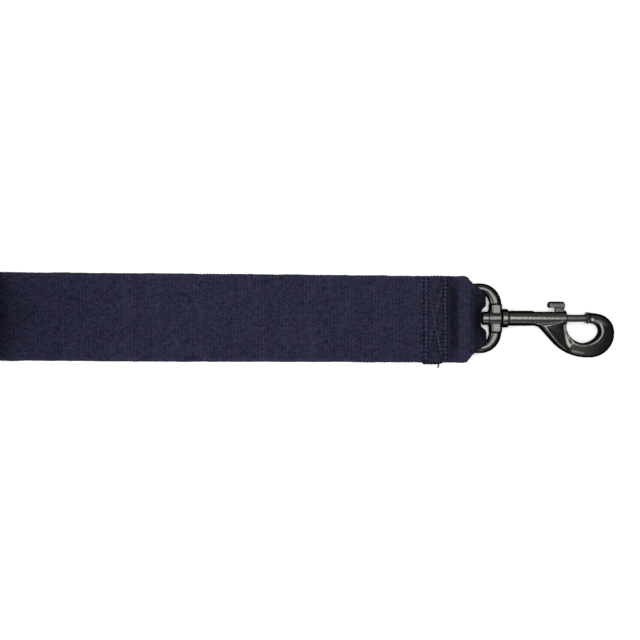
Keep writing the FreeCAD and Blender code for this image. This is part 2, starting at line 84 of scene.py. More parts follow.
BAR_X, _, BAR_Z = JOINTS["eye_swing"]["pos_m"]
BARREL_X, _, AXIS_Z = JOINTS["snap_swivel"]["pos_m"]
ROLL_X = (ROLL_LOW[0] + ROLL_HIGH[0]) / 2
ROLL_RADIUS = (ROLL_HIGH[2] - ROLL_LOW[2]) / 2
THICK = UNDERLAY_HIGH[2] - UNDERLAY_LOW[2]
SEAM_TOP = RUN_HIGH[2]
UNDERLAY_X = UNDERLAY_LOW[0]
SEAM_X = UNDERLAY_HIGH[0]
FRONT_ROW_X = (FRONT_ROW_LOW[0] + FRONT_ROW_HIGH[0]) / 2
REAR_ROW_X = (REAR_ROW_LOW[0] + REAR_ROW_HIGH[0]) / 2
BAR_RADIUS = BAR_X - EYE_LOW[0]
EYE_FRONT_X = BAR_X + 14.75 * MM   # the middle of the eye's front wire
MOUNTS = {mount["name"]: mount for mount in frame["record"]["mounts"]}
HOLE = MOUNTS["hook_bight"]["pos_m"]
BARREL_RADIUS = 4.2 * MM

# ---- the strap's own facts ----

REAR_HALF = 25.15 * MM        # half its width where it leaves the roll
SEAM_HALF = 24.45 * MM        # half its width where the seam draws it in
NOSE_HALF = 12.6 * MM         # half its width at the fold's nose, with the corners tucked in
REAR_OFFSET = 1.25 * MM       # how far the strap lies to the lever's side, at the roll
SEAM_OFFSET = -0.55 * MM      # and at the seam
LAYER_GAP = 0.25 * MM         # air between two turns of the roll
HAND_LOOP = 165 * MM          # the doubled length wound in the middle of the roll
CORE_RADIUS = 4.2 * MM        # where the winding starts
RIB_PITCH = 1.95 * MM
YARN_PITCH = 1.18 * MM
TWILL_PITCH = 1.42 * MM
STITCH = 2.3 * MM
HOLE_OFFSET = 1.05 * MM       # needle pits lie this far beside the thread
CROSSES = (                   # the seam's two diagonals, each from its rear end to its front end
    ((REAR_ROW_X + 2.0 * MM, 11.5 * MM), (FRONT_ROW_X - 2.2 * MM, -20.5 * MM)),
    ((REAR_ROW_X + 2.0 * MM, -14.5 * MM), (FRONT_ROW_X - 1.9 * MM, 16.0 * MM)),
)
FINE_STEP = 0.5 * MM
ROLL_STEP = 1.3 * MM
MITRE_X = BAR_X - 2.2 * MM
PACKED = 0.73                 # the share of its thickness that the cloth keeps in the crease


# ---- shader maths ----

class Value:
    """A socket that takes part in plain arithmetic, adding Math nodes as it goes."""

    def __init__(self, book, socket):
        self.book = book
        self.socket = socket

    def __add__(self, other):
        return self.book.maths("ADD", self, other)

    def __radd__(self, other):
        return self.book.maths("ADD", other, self)

    def __sub__(self, other):
        return self.book.maths("SUBTRACT", self, other)

    def __rsub__(self, other):
        return self.book.maths("SUBTRACT", other, self)

    def __mul__(self, other):
        return self.book.maths("MULTIPLY", self, other)

    def __rmul__(self, other):
        return self.book.maths("MULTIPLY", other, self)

    def __truediv__(self, other):
        return self.book.maths("DIVIDE", self, other)

    def __rtruediv__(self, other):
        return self.book.maths("DIVIDE", other, self)


class Book:
    """The node tree of one material, or of the world."""

    def __init__(self, owner):
        owner.use_nodes = True
        self.tree = owner.node_tree
        self.tree.nodes.clear()

    def node(self, kind, settings=None, inputs=None):
        """Adds a node: its settings first, then the values or links of its sockets."""
        made = self.tree.nodes.new(kind)
        for name, value in (settings or {}).items():
            if name == "stops":
                self.set_stops(made, value)
            else:
                setattr(made, name, value)
        for name, value in (inputs or {}).items():
            self.plug(made.inputs[name], value)
        return made

    def set_stops(self, ramp, stops):
        elements = ramp.color_ramp.elements
        while len(elements) < len(stops):
            elements.new(1.0)
        for element, (place, colour) in zip(elements, stops):
            element.position = place
            element.color = colour

    def plug(self, socket, value):
        if isinstance(value, Value):
            self.tree.links.new(value.socket, socket)
        elif isinstance(value, bpy.types.NodeSocket):
            self.tree.links.new(value, socket)
        else:
            socket.default_value = value

    def maths(self, operation, a, b=0.0):
        made = self.node("ShaderNodeMath", {"operation": operation}, {0: a, 1: b})
        return Value(self, made.outputs[0])

    def sine(self, a):
        return self.maths("SINE", a)

    def clamp(self, a):
        made = self.node("ShaderNodeClamp", {}, {"Value": a, "Min": 0.0, "Max": 1.0})
        return Value(self, made.outputs[0])

    def power(self, a, b):
        return self.maths("POWER", a, b)

    def bell(self, a, width):
        """1 where a is 0, falling away over the width."""
        return 1 / (1 + self.power(self.maths("ABSOLUTE", a) / width, 4.0))

    def step(self, a, low, high):
        """A smooth step from 0 at low to 1 at high."""
        made = self.node("ShaderNodeMapRange", {"interpolation_type": "SMOOTHSTEP"},
                         {"Value": a, "From Min": low, "From Max": high})
        return Value(self, made.outputs[0])

    def noise(self, vector, scale, detail=2.0, roughness=0.5):
        made = self.node("ShaderNodeTexNoise", {},
                         {"Vector": vector, "Scale": scale, "Detail": detail, "Roughness": roughness})
        return Value(self, made.outputs["Fac"])

    def mix_colour(self, factor, a, b, blend="MIX"):
        made = self.node("ShaderNodeMix", {"data_type": "RGBA", "blend_type": blend},
                         {0: factor, 6: a, 7: b})
        return made.outputs[2]

    def scaled(self, vector, factors):
        made = self.node("ShaderNodeVectorMath", {"operation": "MULTIPLY"}, {0: vector, 1: factors})
        return made.outputs[0]

    def split(self, vector):
        made = self.node("ShaderNodeSeparateXYZ", {}, {"Vector": vector})
        return [Value(self, made.outputs[i]) for i in range(3)]

    def place(self):
        """The piece's own coordinates."""
        return self.node("ShaderNodeTexCoord").outputs["Object"]

    def bump(self, height, strength, distance):
        made = self.node("ShaderNodeBump", {},
                         {"Height": height, "Strength": strength, "Distance": distance})
        return made.outputs["Normal"]

    def finish(self, shader):
        self.node("ShaderNodeOutputMaterial", {}, {"Surface": shader})


def rgb(red, green, blue):
    """A colour from its three linear parts."""
    return (red, green, blue, 1.0)


# ---- materials ----

def navy_webbing():
    """Matt navy woven elastic: broken ribs across the band, small floats of yarn and slow bands of lighter and
    darker tone, with painted shade in the crease, on the ramp, round the fold and in the needle pits.
    """
    material = bpy.data.materials.new("navy_webbing")
    book = Book(material)
    cloth = book.node("ShaderNodeAttribute", {"attribute_name": "cloth"}).outputs["Vector"]
    along, across, from_edge = book.split(cloth)
    turn = 2 * math.pi

    wander = book.noise(cloth, 160.0, 2.0) - 0.5
    rib_phase = (along + wander * 0.0011) / RIB_PITCH
    rib = book.sine(rib_phase * turn) * 0.5 + 0.5
    broken = book.noise(book.scaled(cloth, (420.0, 330.0, 1.0)), 1.0, 1.0)
    stagger = book.maths("FRACT", book.maths("FLOOR", rib_phase) * 0.5)
    yarn_phase = (across + wander * 0.0009) / YARN_PITCH + stagger
    yarn = book.sine(yarn_phase * turn) * 0.5 + 0.5
    twill = book.sine((along * 0.45 + across) / TWILL_PITCH * turn) * 0.5 + 0.5
    fibre = book.noise(book.scaled(cloth, (900.0, 1500.0, 900.0)), 1.0, 3.0, 0.7) - 0.5
    slub = book.noise(book.scaled(cloth, (300.0, 420.0, 300.0)), 1.0, 2.0, 0.65) - 0.5
    bands = book.noise(book.scaled(cloth, (125.0, 9.0, 1.0)), 1.0, 2.0, 0.6) - 0.5
    cloud = book.noise(book.scaled(cloth, (45.0, 60.0, 1.0)), 1.0, 3.0, 0.6) - 0.5
    side = book.maths("ABSOLUTE", across)
    selvedge = 1 - book.step(from_edge, 0.6 * MM, 3.0 * MM)
    lip = 1 - book.step(from_edge, 0.25 * MM, 0.9 * MM)

    sewn = FRONT_ROW_X - REAR_ROW_X
    # the cloth made darker between the seam's rows
    between = book.step(along, -sewn, -sewn + 1 * MM) * (1 - book.step(along, -1 * MM, 0.0))
    # painted shade on the ramp behind the rear row, toning down its lit slope
    between = between + book.step(along, -sewn - 22 * MM, -sewn - 2 * MM) * (1 - between) * 0.45
    weave = rib * (broken * 1.3) + yarn * 0.34 + twill * 0.22
    pits_and_pit_shade = needle_holes(book, along, across)
    height = weave * (1 - selvedge * 0.5) + fibre * 0.9 + slub * 0.8 + selvedge * yarn * 0.5 - pits_and_pit_shade * 2.2
    light = 0.66 + weave * 0.34 + fibre * 3.2 + slub * 1.4 + bands * 0.5 + cloud * 0.15 - between * 0.16
    # the selvedge's own lighter tone, then painted shade in the needle pits
    light = (light + selvedge * (0.12 + yarn * 0.25)) * (1 - pits_and_pit_shade * 0.78)
    # painted shade where the fold's tip turns down towards the floor, weaker towards its edges
    nose_painted_shade = book.step(along, 15.0 * MM, 20.5 * MM) * (0.8 - book.step(side, 4 * MM, 12 * MM) * 0.3)
    light = light * (1 - nose_painted_shade)
    # the edge darker in the rib troughs, then painted shade in the crease
    light = light * (1 - lip * (1 - rib) * 0.7) * (1 - crease_shade(book, along, side) * 0.62)
    hue = book.step(book.noise(book.scaled(cloth, (170.0, 190.0, 170.0)), 1.0, 3.0, 0.7), 0.34, 0.66)
    navy = book.mix_colour(hue, rgb(0.0174, 0.0211, 0.0448), rgb(0.0240, 0.0203, 0.0441))
    colour = book.mix_colour(1.0, navy, book.maths("MAXIMUM", light, 0.15), "MULTIPLY")
    shader = book.node("ShaderNodeBsdfPrincipled", {}, {
        "Base Color": colour,
        "Roughness": 0.9,
        "Specular IOR Level": 0.06,
        "Sheen Weight": 0.03,
        "Sheen Roughness": 0.5,
        "Sheen Tint": rgb(0.5, 0.5, 0.8),
        "Normal": book.bump(height, 0.5, 0.0004),
    })
    book.finish(shader.outputs["BSDF"])
    return material


def crease_shade(book, along, side):
    """Painted shade in the crease between the seam and the fold, fading out at both edges."""
    there = book.step(along, 1.4 * MM, 4.2 * MM) * (1 - book.step(along, 7.0 * MM, 10.6 * MM))
    return there * (1 - book.step(side, 13 * MM, 23 * MM) * 0.7)


def needle_holes(book, along, across):
    """Small pits on both sides of the seam's rows and diagonals, where the needle pulled the cloth in. The webbing
    uses them both as dents and as painted shade.
    """
    length = FRONT_ROW_X - REAR_ROW_X
    pits_and_pit_shade = 0.0
    for place, phase in ((0.0, 0.0), (-length, 0.4)):
        for offset in (-HOLE_OFFSET, HOLE_OFFSET):
            beside = book.bell(along - (place + offset), 0.58 * MM)
            dots = book.step(book.sine((across / STITCH + phase) * 2 * math.pi), -0.1, 0.75)
            pits_and_pit_shade = beside * dots + pits_and_pit_shade
    past_rear = book.step(along, -length + 0.5 * MM, -length + 1.2 * MM)
    inside = past_rear * (1 - book.step(along, -1.2 * MM, -0.5 * MM))
    for start, end in CROSSES:
        run = Vector((end[0] - start[0], end[1] - start[1]))
        run.normalize()
        rise = along - (start[0] - FRONT_ROW_X)
        drift = across - start[1]
        beside = rise * run.y - drift * run.x
        travelled = rise * run.x + drift * run.y
        near = book.bell(beside - 0.75 * MM, 0.40 * MM)
        dots = book.step(book.sine(travelled / STITCH * 2 * math.pi), 0.0, 0.8)
        reach = book.step(travelled, 0.0, 0.8 * MM)
        pits_and_pit_shade = near * dots * inside * reach + pits_and_pit_shade
    return book.clamp(pits_and_pit_shade)


def sewing_thread():
    """Twisted polyester thread, a little lighter than the webbing and slightly shiny."""
    material = bpy.data.materials.new("sewing_thread")
    book = Book(material)
    lay = book.node("ShaderNodeAttribute", {"attribute_name": "lay"}).outputs["Vector"]
    along, around, _ = book.split(lay)
    ply = book.sine((along / 0.0009 + around * 2) * 2 * math.pi) * 0.5 + 0.5
    fuzz = book.noise(book.scaled(lay, (5000.0, 6.0, 1.0)), 1.0, 3.0)
    lit = book.clamp(ply * 0.6 + fuzz * 0.5)
    colour = book.mix_colour(lit, rgb(0.014, 0.014, 0.026), rgb(0.064, 0.062, 0.088))
    shader = book.node("ShaderNodeBsdfPrincipled", {}, {
        "Base Color": colour,
        "Roughness": 0.6,
        "Specular IOR Level": 0.2,
        "Normal": book.bump(ply + fuzz * 0.4, 0.6, 0.0001),
    })
    book.finish(shader.outputs["BSDF"])
    return material


def black_nickel(name, cast=1.0, dull=0.0, shade=1.0):
    """Glossy black nickel plate: a warm dark metal with a faintly uneven skin and rubbed spots.

    cast is how uneven the skin is, dull is added to the roughness and shade darkens the base colour, as painted
    shade on parts that look darker under the lights."""
    material = bpy.data.materials.new(name)
    book = Book(material)
    place = book.place()
    skin = book.noise(place, 420.0, 3.0, 0.6)
    grain = book.noise(place, 2600.0, 3.0, 0.7)
    cloud = book.noise(place, 95.0, 2.0, 0.5)
    rub = book.step(book.noise(place, 240.0, 4.0, 0.65), 0.60, 0.74)
    # shade scales the base colour down: painted shade
    colour = book.mix_colour(cloud, rgb(0.080 * shade, 0.078 * shade, 0.074 * shade),
                             rgb(0.105 * shade, 0.103 * shade, 0.098 * shade))
    colour = book.mix_colour(rub * 0.35, colour, rgb(0.19, 0.183, 0.17))
    rough = 0.10 + dull + cloud * 0.08 + rub * 0.12 + (grain - 0.5) * 0.06
    shader = book.node("ShaderNodeBsdfPrincipled", {}, {
        "Base Color": colour,
        "Metallic": 1.0,
        "Roughness": rough,
        "Normal": book.bump(skin * cast + grain * 0.12, 0.22, 0.00025),
    })
    book.finish(shader.outputs["BSDF"])
    return material


def spring_wire():
    """Bright drawn wire with fine lengthwise drawing marks."""
    material = bpy.data.materials.new("spring_wire")
    book = Book(material)
    place = book.place()
    marks = book.noise(book.scaled(place, (900.0, 5000.0, 5000.0)), 1.0, 3.0)
    colour = book.mix_colour(marks, rgb(0.42, 0.42, 0.43), rgb(0.62, 0.62, 0.62))
    shader = book.node("ShaderNodeBsdfPrincipled", {}, {
        "Base Color": colour,
        "Metallic": 1.0,
        "Roughness": 0.22 + marks * 0.16,
        "Normal": book.bump(marks, 0.2, 0.00005),
    })
    book.finish(shader.outputs["BSDF"])
    return material


def pale_floor():
    """The plain pale surface that the lead lies on."""
    material = bpy.data.materials.new("pale_floor")
    book = Book(material)
    shader = book.node("ShaderNodeBsdfPrincipled", {}, {
        "Base Color": rgb(0.92, 0.92, 0.92),
        "Roughness": 0.9,
        "Specular IOR Level": 0.0,
        "Emission Color": rgb(1.0, 1.0, 1.0),
        "Emission Strength": 0.28,
    })
    book.finish(shader.outputs["BSDF"])
    return material


# ---- the strap's line, seen from the side: x along the lead, z up ----

def smooth(value, low, high):
    """A smooth step from 0 at low to 1 at high."""
    share = np.clip((value - low) / (high - low), 0.0, 1.0)
    return share * share * (3 - 2 * share)


def spiral_radius(angle, double_from):
    """The strap's distance from the roll's centre. Each turn is one layer further in, and two once the
    hand loop's doubled strap lies inside it."""
    turns = angle / (2 * math.pi)
    doubled = (angle - double_from) / (2 * math.pi)
    steps = sum(smooth(doubled, k, k + 0.14) for k in range(1, 7))
    pitch = THICK + LAYER_GAP
    return ROLL_RADIUS - THICK / 2 - pitch * (turns + steps)


def spiral_point(angle, radius):
    """A point of the roll: angle 0 is at the floor, and it grows up the side away from the snap."""
    return np.stack([ROLL_X - radius * np.sin(angle), ROLL_RADIUS - radius * np.cos(angle)], axis=-1)


def line_length(points):
    return float(np.sum(np.linalg.norm(np.diff(points, axis=0), axis=1)))


def roll_line():
    """The wound strap from the sewn end of the hand loop, through the core and out to the floor."""
    pitch = THICK + LAYER_GAP
    double_from = 2 * math.pi * 6.2
    for _ in range(40):
        core = double_from
        while spiral_radius(core, double_from) - pitch > CORE_RADIUS:
            core += 0.05
        inner = np.linspace(double_from, core, 1200)
        length = line_length(spiral_point(inner, spiral_radius(inner, double_from) - pitch))
        if length <= HAND_LOOP:
            break
        double_from += 0.25
    turn_step = 0.02
    back = np.arange(double_from, core, turn_step)
    inner_layer = spiral_point(back, spiral_radius(back, double_from) - pitch)
    middle_radius = spiral_radius(core, double_from) - pitch / 2
    bend = np.linspace(0, math.pi, 9)[1:-1]
    bend_radius = middle_radius - pitch / 2 * np.cos(bend)
    bend_angle = core + np.sin(bend) * pitch / 2 / middle_radius
    core_bend = spiral_point(bend_angle, bend_radius)
    out = np.arange(core, 0, -turn_step)
    outer_layer = spiral_point(out, spiral_radius(out, double_from))
    return np.concatenate([inner_layer, core_bend, outer_layer])


def end_line():
    """The strap from the floor under the roll, over the turned-back end, round the bar and back."""
    mid = THICK / 2
    ramp = 5.0 * MM
    top = SEAM_TOP - THICK / 2
    room = BAR_RADIUS + 0.35 * MM + THICK / 2
    front = FRONT_ROW_X
    points = [
        (ROLL_X, mid),
        (UNDERLAY_X - 2.2 * ramp, mid),
        (UNDERLAY_X - ramp, mid + 0.12 * MM),
        (UNDERLAY_X, top - 0.15 * MM),
        (UNDERLAY_X + 3 * MM, top),
        (front + 0.4 * MM, top),
        (front + 2.7 * MM, top - 0.62 * MM),
        (front + 5.0 * MM, top - 0.90 * MM),
        (front + 7.0 * MM, top + 0.3 * MM),
        (front + 8.9 * MM, top + 3.4 * MM),
        (BAR_X - 2.3 * MM, BAR_Z + room - 0.45 * MM),
        (BAR_X + 0.4 * MM, BAR_Z + room),
        (BAR_X + 3.1 * MM, BAR_Z + room - 0.95 * MM),
        (BAR_X + 5.0 * MM, BAR_Z + 1.5 * MM),
        (BAR_X + 5.35 * MM, BAR_Z - 0.7 * MM),
        (BAR_X + 4.0 * MM, BAR_Z - 3.1 * MM),
        (BAR_X + 0.6 * MM, mid + 0.02 * MM),
        (BAR_X - 3.5 * MM, mid),
        (front + 5.0 * MM, mid * PACKED),
        (front, mid),
        (UNDERLAY_X, mid),
    ]
    return through(np.array(points))


def through(points, steps=24):
    """A smooth line through the points, as a centripetal spline."""
    ends = [2 * points[0] - points[1], *points, 2 * points[-1] - points[-2]]
    pieces = []
    for i in range(1, len(ends) - 2):
        p0, p1, p2, p3 = (np.array(ends[i + k]) for k in (-1, 0, 1, 2))
        t1 = np.linalg.norm(p1 - p0) ** 0.5
        t2 = t1 + np.linalg.norm(p2 - p1) ** 0.5
        t3 = t2 + np.linalg.norm(p3 - p2) ** 0.5
        t = np.linspace(t1, t2, steps, endpoint=False)[:, None]
        a1 = (t1 - t) / t1 * p0 + t / t1 * p1
        a2 = (t2 - t) / (t2 - t1) * p1 + (t - t1) / (t2 - t1) * p2
        a3 = (t3 - t) / (t3 - t2) * p2 + (t - t2) / (t3 - t2) * p3
        b1 = (t2 - t) / t2 * a1 + t / t2 * a2
        b2 = (t3 - t) / (t3 - t1) * a2 + (t - t1) / (t3 - t1) * a3
        pieces.append((t2 - t) / (t2 - t1) * b1 + (t - t1) / (t2 - t1) * b2)
    pieces.append(np.array([points[-1]]))
    return np.concatenate(pieces)


def respaced(points, step):
    """The same line with its points a step apart. Returns the points and how far along each one is."""
    gaps = np.linalg.norm(np.diff(points, axis=0), axis=1)
    along = np.concatenate([[0.0], np.cumsum(gaps)])
    count = max(2, int(round(along[-1] / step)) + 1)
    even = np.linspace(0, along[-1], count)
    return np.stack([np.interp(even, along, points[:, k]) for k in range(2)], axis=-1), even


def wobble(rng, places, spacing, size):
    """A smooth random line along the places: one free value every spacing."""
    knots = int(places[-1] / spacing) + 3
    values = rng.uniform(-1, 1, knots)
    return np.interp(places, np.arange(knots) * spacing, values) * size


# ---- the strap's mesh ----

COLUMNS = 60          # faces across the strap on each side
EDGE_COLUMNS = 3      # extra points round each selvedge


def section():
    """The strap's section: (share of the half width, share of the half thickness), once round."""
    top = []
    for i in range(COLUMNS + 1):
        share = -1 + 2 * i / COLUMNS
        eased = math.sin(share * math.pi / 2) * 0.25 + share * 0.75
        top.append((eased * 0.985, 1.0))
    round_edge = np.linspace(0, math.pi, EDGE_COLUMNS + 4)[1:-1]
    right = [(1 - 0.015 * (1 - math.sin(a)), math.cos(a)) for a in round_edge]
    under = [(y, -1.0) for y, _ in reversed(top)]
    left = [(-y, n) for y, n in reversed(right)]
    return np.array(top + right + under + left)


def build_strap():
    """The whole strap as one closed mesh, swept along its line, with the weave's own coordinates on it."""
    rng = np.random.default_rng(7)
    wound, wound_along = respaced(roll_line(), ROLL_STEP)
    laid, laid_along = respaced(end_line(), FINE_STEP)
    line = np.concatenate([wound[:-1], laid])
    along = np.concatenate([wound_along[:-1], laid_along + wound_along[-1]])
    tangent = np.gradient(line, axis=0)
    tangent /= np.linalg.norm(tangent, axis=1)[:, None]
    normal = np.stack([-tangent[:, 1], tangent[:, 0]], axis=-1)
    x, z = line[:, 0], line[:, 1]
    on_floor = np.arange(len(line)) >= len(wound) - 1
    nose_index = int(np.argmax(x))
    after_nose = np.arange(len(line)) > nose_index

    # how wide the strap is and where its middle lies
    share = np.clip((x - ROLL_X) / (SEAM_X - ROLL_X), 0, 1)
    half = np.where(on_floor, REAR_HALF + (SEAM_HALF - REAR_HALF) * share ** 2, REAR_HALF)
    nose_x = x[nose_index]
    into = (x - MITRE_X) / (nose_x - MITRE_X)
    mitre = np.clip((into + np.sqrt(into ** 2 + 0.02)) / 2, 0, 1) * on_floor
    half = half + (NOSE_HALF - half) * mitre
    middle = np.where(on_floor, REAR_OFFSET + (SEAM_OFFSET - REAR_OFFSET) * share, REAR_OFFSET)
    middle = middle * (1 - mitre * 0.6)
    drift = wobble(rng, along, 38 * MM, 0.35 * MM)
    middle = middle + np.where(on_floor, 0, drift)
    skew = smooth(BAR_X - 13.5 * MM - x, 0, 4 * MM) * after_nose
    middle = middle - skew * 1.25 * MM

    ribs = np.cos(2 * math.pi * along / RIB_PITCH)
    calm = 1 - mitre
    edges = []
    for _ in range(2):
        rough = wobble(rng, along, 2.1 * MM, 0.10 * MM) + wobble(rng, along, 9 * MM, 0.12 * MM)
        edges.append((0.17 * MM * ribs + rough) * np.clip(calm + 0.4, 0, 1))

    shape = section()
    rows, points = len(line), len(shape)
    across = shape[:, 0][None, :] * half[:, None]
    reach = np.where(shape[:, 0][None, :] > 0, edges[0][:, None], edges[1][:, None])
    across = across + reach * np.abs(shape[:, 0][None, :]) ** 6
    packed = 1 - (1 - PACKED) * np.exp(-((x - FRONT_ROW_X - 5 * MM) / (3.2 * MM)) ** 2) * on_floor
    depth = shape[:, 1][None, :] * THICK / 2 * packed[:, None]

    # the tucked corners make the fold's edges thicker, and the cloth gathers a little towards the nose
    lip = mitre * (1 - mitre) * 4
    side = np.abs(shape[:, 0])[None, :]
    depth = depth * (1 + 0.5 * lip[:, None] * side ** 8)
    gather = np.sin(across / (2.9 * MM) + 0.8 * np.sin(across / (5 * MM))) * 0.16 * MM
    near_fold = smooth(x, SEAM_X + 1 * MM, MITRE_X)[:, None] * (1 - after_nose[:, None] * 0.7)
    shift = gather * near_fold * on_floor[:, None]

    # the seam's rows press the layers together
    top_layer = on_floor & ~after_nose
    for row_x in (FRONT_ROW_X, REAR_ROW_X):
        dip = np.exp(-((x - row_x) / (0.75 * MM)) ** 2) * top_layer
        pulled = 0.30 + 0.10 * np.cos(2 * math.pi * across / (2.3 * MM))
        shift = shift - (dip[:, None] * (shape[:, 1][None, :] > 0)) * pulled * MM
    pillow = np.sin(np.clip((x - REAR_ROW_X) / (FRONT_ROW_X - REAR_ROW_X), 0, 1) * math.pi) * top_layer
    shift = shift + (pillow[:, None] * (shape[:, 1][None, :] > 0)) * 0.12 * MM

    offset = depth + shift
    px = x[:, None] + normal[:, 0][:, None] * offset
    pz = z[:, None] + normal[:, 1][:, None] * offset
    py = middle[:, None] + across

    # the fold is looser beside the rivet's head than in front of it
    near_nose = smooth(px, BAR_X + 0.5 * MM, BAR_X + 5 * MM)
    px = px + near_nose * smooth(np.abs(py), 4.0 * MM, 7.5 * MM) * 2.7 * MM
    from_roll = smooth(x, ROLL_X + 60 * MM, ROLL_X + 120 * MM)[:, None]
    slack = from_roll * smooth(-x, -UNDERLAY_X + 4 * MM, -UNDERLAY_X + 40 * MM)[:, None]
    wave = np.sin(px / (31 * MM)) * np.sin(py / (13 * MM) + 1) * 0.12 * MM
    pz = pz + np.maximum(wave, 0) * slack * on_floor[:, None]
    pz = np.maximum(pz, 0.02 * MM)

    places = np.stack([px, py, pz], axis=-1).reshape(-1, 3)
    faces = []
    for i in range(rows - 1):
        a = i * points
        b = a + points
        for j in range(points):
            k = (j + 1) % points
            faces.append((a + j, b + j, b + k, a + k))
    last = (rows - 1) * points
    faces.extend(end_faces(0, points, False))
    faces.extend(end_faces(last, points, True))

    mesh = bpy.data.meshes.new("strap")
    mesh.from_pydata(places.tolist(), [], faces)
    at_front_row = np.interp(FRONT_ROW_X, x[top_layer], along[top_layer])
    from_edge = np.maximum(half[:, None] - np.abs(across), 0)
    cloth = np.stack([np.repeat(along - at_front_row, points), across.ravel(), from_edge.ravel()], axis=-1)
    attribute = mesh.attributes.new("cloth", "FLOAT_VECTOR", "POINT")
    attribute.data.foreach_set("vector", cloth.astype(np.float32).ravel())
    mesh.polygons.foreach_set("use_smooth", [True] * len(mesh.polygons))
    mesh.validate()
    strap = bpy.data.objects.new("strap", mesh)
    bpy.context.collection.objects.link(strap)
    return strap, float(along[-1])


def end_faces(first, points, flip):
    """Quads that close a cut end, from the top side's points to the under side's."""
    top = COLUMNS + 1
    edge = EDGE_COLUMNS + 2
    faces = []
    for i in range(COLUMNS):
        a = first + i
        b = first + i + 1
        c = first + top + edge + COLUMNS - i - 1
        d = first + top + edge + COLUMNS - i
        faces.append((a, b, c, d) if not flip else (d, c, b, a))
    right = [first + COLUMNS + i for i in range(edge + 2)]
    left = [first + top + edge + COLUMNS + i for i in range(edge + 1)] + [first]
    for ring in (right, left):
        faces.append(tuple(ring) if not flip else tuple(reversed(ring)))
    return faces


# ---- the seam's thread ----

def tube(points, radius, sides=8):
    """Rings of points round a path: (places, faces, how far along and how far round each point is)."""
    points = [Vector(p) for p in points]
    places, faces, lay = [], [], []
    travelled = 0.0
    for i, point in enumerate(points):
        ahead = points[min(i + 1, len(points) - 1)] - points[max(i - 1, 0)]
        ahead.normalize()
        side = ahead.cross(Vector((0, 0, 1)))
        if side.length < 0.05:
            side = ahead.cross(Vector((1, 0, 0)))
        side.normalize()
        up = side.cross(ahead)
        if i:
            travelled += (point - points[i - 1]).length
        for k in range(sides):
            angle = 2 * math.pi * k / sides
            places.append(point + (side * math.cos(angle) + up * math.sin(angle)) * radius)
            lay.append((travelled, k / sides, 0.0))
    for i in range(len(points) - 1):
        for k in range(sides):
            a = i * sides + k
            b = i * sides + (k + 1) % sides
            faces.append((a, b, b + sides, a + sides))
    faces.append(tuple(range(sides - 1, -1, -1)))
    faces.append(tuple((len(points) - 1) * sides + k for k in range(sides)))
    return places, faces, lay


def thread_object(name, paths, radius):
    """One mesh of several lengths of thread."""
    places, faces, lay = [], [], []
    for path in paths:
        more_places, more_faces, more_lay = tube(path, radius)
        first = len(places)
        places.extend(more_places)
        lay.extend(more_lay)
        faces.extend(tuple(first + i for i in face) for face in more_faces)
    mesh = bpy.data.meshes.new(name)
    mesh.from_pydata(places, [], faces)
    attribute = mesh.attributes.new("lay", "FLOAT_VECTOR", "POINT")
    attribute.data.foreach_set("vector", np.array(lay, np.float32).ravel())
    mesh.polygons.foreach_set("use_smooth", [True] * len(mesh.polygons))
    made = bpy.data.objects.new(name, mesh)
    bpy.context.collection.objects.link(made)
    return made


THREAD_RADIUS = 0.33 * MM


def stitched_line(name, start, end, height, seed):
    """A line of lockstitches: each float of thread dives into the cloth at both ends."""
    rng = random.Random(seed)
    start, end = Vector(start), Vector(end)
    count = round((end - start).length / STITCH)
    step = (end - start) / count
    direction = step.normalized()
    side = direction.cross(Vector((0, 0, 1)))
    paths = []
    for i in range(count):
        lean = rng.uniform(-0.16, 0.16) * MM
        sunk = (0.55 + rng.choice((0, 0, 0.1, 0.3))) * MM
        first = start + step * (i + 0.02) + side * (rng.uniform(-0.12, 0.12) * MM)
        last = start + step * (i + 0.98) + side * lean
        path = []
        for k in range(9):
            share = k / 8
            rise = math.sin(share * math.pi) ** 0.75
            point = first.lerp(last, share)
            point.z = height - sunk + rise * (0.62 + rng.uniform(-0.02, 0.05)) * MM
            path.append(point)
        paths.append(path)
    return thread_object(name, paths, THREAD_RADIUS)


def build_seam(material):
    """The box-X seam: two rows across the strap and two that cross between them."""
    half = FRONT_ROW_HIGH[1]
    row_height = SEAM_TOP - 0.22 * MM
    cross_height = SEAM_TOP + 0.10 * MM
    rows = {
        "seam_row_front": ((FRONT_ROW_X, -half), (FRONT_ROW_X, half), row_height, 3),
        "seam_row_rear": ((REAR_ROW_X, -half), (REAR_ROW_X, half), row_height, 5),
        "seam_cross_left": (*CROSSES[0], cross_height, 8),
        "seam_cross_right": (*CROSSES[1], cross_height, 9),
    }
    for node, (start, end, height, seed) in rows.items():
        name = node.replace("seam", "stitches")
        thread = stitched_line(name, (*start, height), (*end, height), height, seed)
        thread.data.materials.append(material)
        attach(thread, "strap")
        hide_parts(node)


